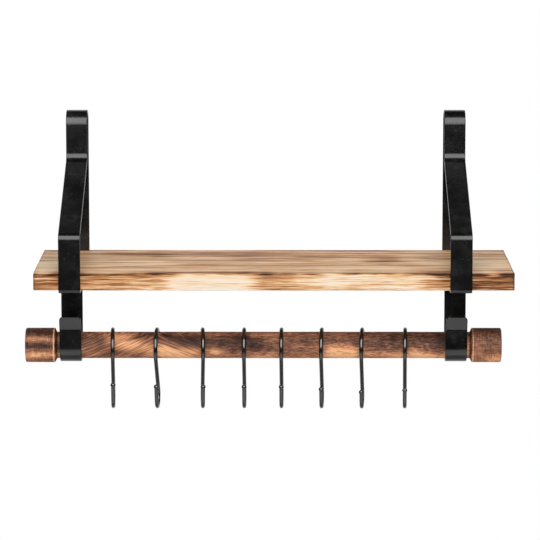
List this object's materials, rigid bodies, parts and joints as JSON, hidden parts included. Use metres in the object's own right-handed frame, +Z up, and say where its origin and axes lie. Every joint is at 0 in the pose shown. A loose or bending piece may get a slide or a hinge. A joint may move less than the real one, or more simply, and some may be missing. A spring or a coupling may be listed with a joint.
{
  "type": "wall shelf",
  "caption": "Wall shelf: a torched pine board in two black flat-bar brackets, with a wooden rod in J-hooks below it and wire S-hooks hung on the rod.",
  "frame": {"origin": "on the wall plane, in the middle of the four wall screw holes", "axes": "+X along the shelf to the right seen from the front, +Y into the wall, +Z up"},
  "size_m": [0.4611, 0.156, 0.2777],
  "materials": {
    "torched_pine_board": "torched pine, thin clear oil, satin",
    "torched_wood_rod": "darkly torched turned wood, satin",
    "plain_dowel_wood": "bare beech",
    "black_coated_steel": "black powder coat, satin",
    "black_coated_wire": "black coated wire, satin",
    "black_screw_steel": "black phosphated steel"
  },
  "bodies": {
    "shelf": {"shelf_board": "torched_pine_board", "left_bracket": "black_coated_steel", "right_bracket": "black_coated_steel", "left_rod_hook": "black_coated_steel", "right_rod_hook": "black_coated_steel", "board_screws": "black_screw_steel"},
    "rod": {"rod": "torched_wood_rod", "left_rod_cap": "torched_wood_rod", "right_rod_cap": "torched_wood_rod", "cap_dowels": "plain_dowel_wood"},
    "s_hook_1": {"s_hook_1": "black_coated_wire"},
    "s_hook_2": {"s_hook_2": "black_coated_wire"},
    "s_hook_3": {"s_hook_3": "black_coated_wire"},
    "s_hook_4": {"s_hook_4": "black_coated_wire"},
    "s_hook_5": {"s_hook_5": "black_coated_wire"},
    "s_hook_6": {"s_hook_6": "black_coated_wire"},
    "s_hook_7": {"s_hook_7": "black_coated_wire"},
    "s_hook_8": {"s_hook_8": "black_coated_wire"}
  },
  "joints": [
    {"name": "rod_lift", "type": "slide", "parent": "shelf", "child": "rod", "axis": [0, 0, 1], "range_m": [0, 0.0423]},
    {"name": "s_hook_1_swing", "type": "hinge", "parent": "rod", "child": "s_hook_1", "pos_m": [-0.14545, -0.102, -0.13], "axis": [1, 0, 0], "range_deg": [-60, 60]},
    {"name": "s_hook_2_swing", "type": "hinge", "parent": "rod", "child": "s_hook_2", "pos_m": [-0.10344, -0.102, -0.13], "axis": [1, 0, 0], "range_deg": [-60, 60]},
    {"name": "s_hook_3_swing", "type": "hinge", "parent": "rod", "child": "s_hook_3", "pos_m": [-0.05982, -0.102, -0.13], "axis": [1, 0, 0], "range_deg": [-60, 60]},
    {"name": "s_hook_4_swing", "type": "hinge", "parent": "rod", "child": "s_hook_4", "pos_m": [-0.02031, -0.102, -0.13], "axis": [1, 0, 0], "range_deg": [-60, 60]},
    {"name": "s_hook_5_swing", "type": "hinge", "parent": "rod", "child": "s_hook_5", "pos_m": [0.01521, -0.102, -0.13], "axis": [1, 0, 0], "range_deg": [-60, 60]},
    {"name": "s_hook_6_swing", "type": "hinge", "parent": "rod", "child": "s_hook_6", "pos_m": [0.05352, -0.102, -0.13], "axis": [1, 0, 0], "range_deg": [-60, 60]},
    {"name": "s_hook_7_swing", "type": "hinge", "parent": "rod", "child": "s_hook_7", "pos_m": [0.09194, -0.102, -0.13], "axis": [1, 0, 0], "range_deg": [-60, 60]},
    {"name": "s_hook_8_swing", "type": "hinge", "parent": "rod", "child": "s_hook_8", "pos_m": [0.13295, -0.102, -0.13], "axis": [1, 0, 0], "range_deg": [-60, 60]}
  ]
}
